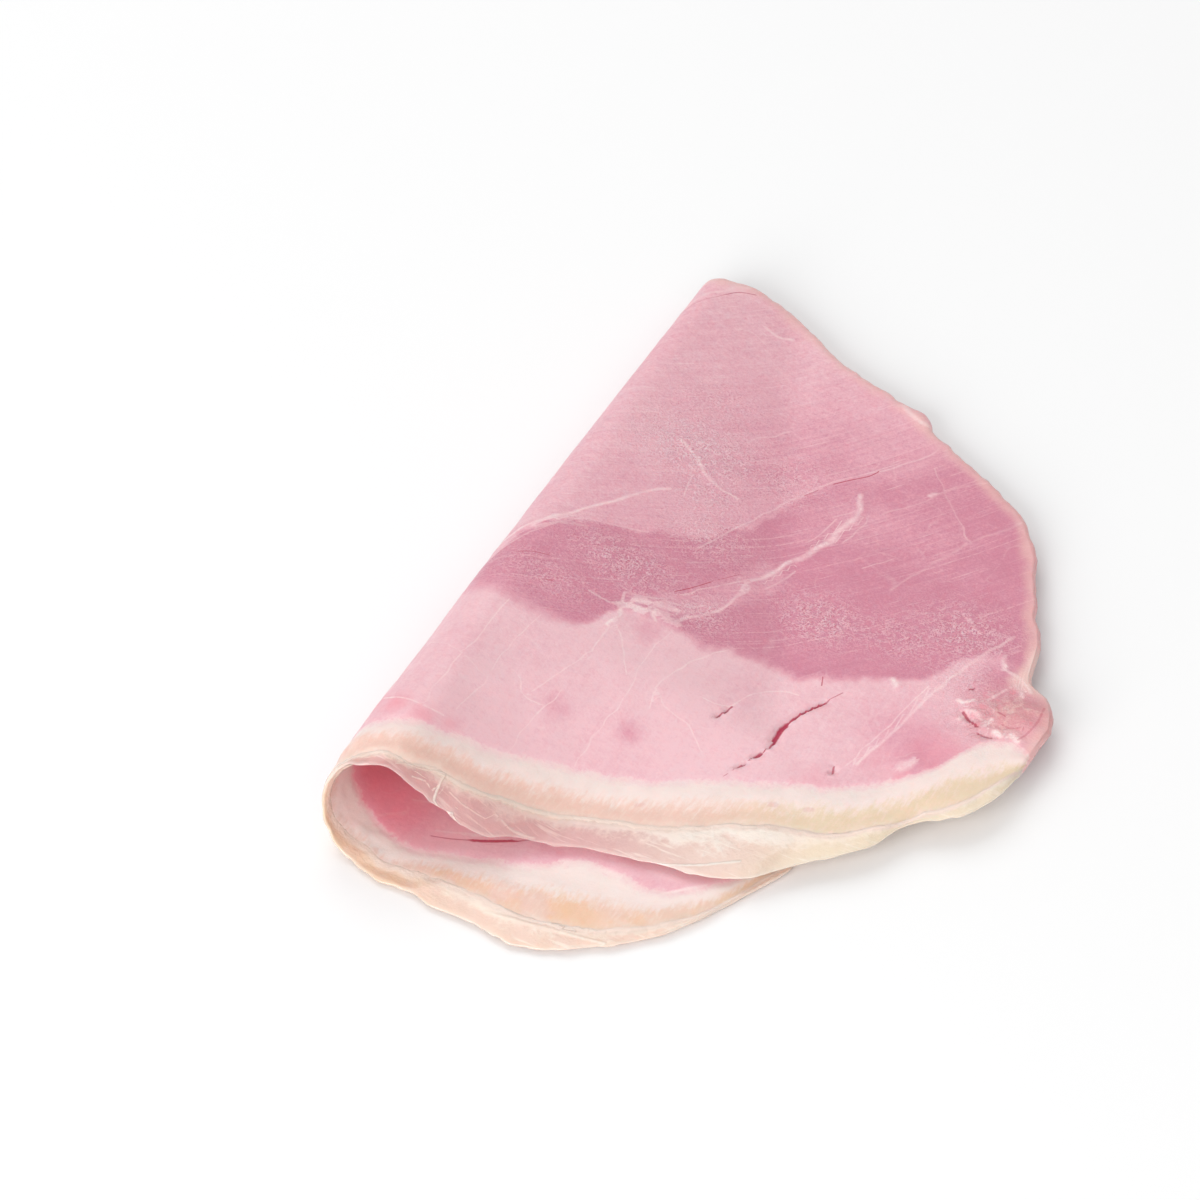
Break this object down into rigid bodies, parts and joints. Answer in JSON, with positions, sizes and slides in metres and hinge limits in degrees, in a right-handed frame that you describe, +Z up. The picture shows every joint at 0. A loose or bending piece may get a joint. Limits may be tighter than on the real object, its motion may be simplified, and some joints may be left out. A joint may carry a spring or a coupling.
{
  "type": "ham slice",
  "caption": "Slice of cooked ham with a fat rim, folded once in half so that it lies flat with an open soft loop at the rim end of the fold.",
  "frame": {"origin": "under the middle of the part's box, on the surface that the lower half lies on", "axes": "+Y along the fold from the fat rim to the tip, +X from the fold towards the free edges of the two halves, +Z up"},
  "size_m": [0.0818, 0.128, 0.015],
  "materials": {
    "ham": "moist cooked meat, soft sheen"
  },
  "bodies": {
    "root": {"ham_slice": "ham"}
  },
  "joints": []
}
